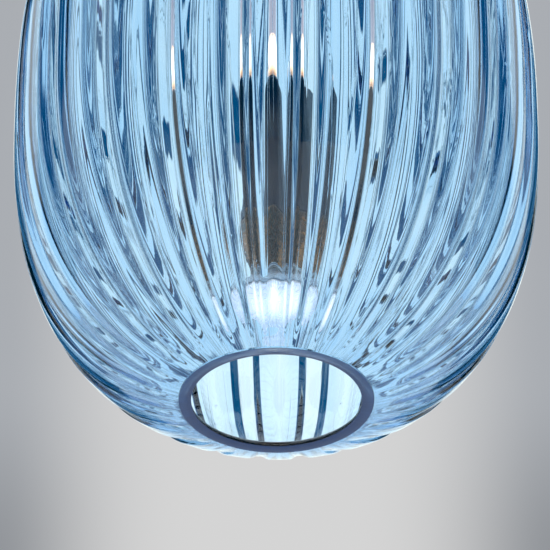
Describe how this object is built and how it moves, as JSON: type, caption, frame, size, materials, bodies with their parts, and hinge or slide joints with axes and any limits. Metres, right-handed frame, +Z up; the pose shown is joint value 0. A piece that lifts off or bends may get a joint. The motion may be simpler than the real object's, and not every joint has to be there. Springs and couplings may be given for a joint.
{
  "type": "hanging lantern",
  "caption": "Hanging lantern with a barrel-shaped ribbed blue glass shade open at the bottom, a screw-held metal gallery and a reflector lamp on a stem inside.",
  "frame": {"origin": "where a hook bears, at the top of the inside of the hanging loop", "axes": "+Z up along the lantern's axis, X across the hanging loop's ring, Y through its eye"},
  "size_m": [0.2772, 0.28, 0.48],
  "materials": {
    "blue_glass": "clear mouth-blown glass, ribbed, with fine cords and seeds",
    "clear_glass": "clear moulded glass",
    "navy_gloss": "gloss lacquer, blue-black",
    "bronze": "dark polished bronze lacquer",
    "bright_metal": "polished",
    "satin_nickel": "satin",
    "steel": "zinc plated",
    "rubber": "matt",
    "warm_diffuser": "frosted, lit from inside",
    "ceramic": "unglazed white",
    "board_white": "matt",
    "lead_sleeve": "matt"
  },
  "bodies": {
    "lantern": {"glass_shade": "blue_glass", "lip_gasket": "rubber", "gallery_cap": "bronze", "crown_boss": "bronze", "hanging_loop": "bronze", "cord_bushing": "rubber", "crown_nut": "steel", "cap_washer": "steel", "stem_nut": "steel", "threaded_rod": "steel", "stem_tube": "satin_nickel", "glow_collar": "warm_diffuser", "uplight_board": "board_white", "sleeve_neck_ring": "bronze", "sleeve": "navy_gloss", "sleeve_nut": "steel", "holder_plate": "steel", "rod_end_nut": "steel", "lampholder": "ceramic", "holder_leg_1": "steel", "holder_leg_2": "steel", "lamp_lead_1": "lead_sleeve", "lamp_lead_2": "lead_sleeve", "bronze_cup": "bronze", "joining_ring": "steel", "neck_ring": "bright_metal"},
    "lamp": {"lamp_reflector": "clear_glass", "lamp_front_glass": "clear_glass", "lamp_emitter": "warm_diffuser", "lamp_base": "ceramic", "lamp_pin_1": "bright_metal", "lamp_pin_2": "bright_metal"},
    "thumb_screw_1": {"thumb_screw_1": "bronze"},
    "thumb_screw_2": {"thumb_screw_2": "bronze"},
    "thumb_screw_3": {"thumb_screw_3": "bronze"}
  },
  "joints": [
    {"name": "lamp_withdrawal", "type": "slide", "parent": "lantern", "child": "lamp", "axis": [0, 0, -1], "range_m": [0, 0.13]},
    {"name": "thumb_screw_1_travel", "type": "slide", "parent": "lantern", "child": "thumb_screw_1", "axis": [0, 1, 0], "range_m": [0, 0.008]},
    {"name": "thumb_screw_2_travel", "type": "slide", "parent": "lantern", "child": "thumb_screw_2", "axis": [-0.866, -0.5, 0], "range_m": [0, 0.008]},
    {"name": "thumb_screw_3_travel", "type": "slide", "parent": "lantern", "child": "thumb_screw_3", "axis": [0.866, -0.5, 0], "range_m": [0, 0.008]}
  ]
}
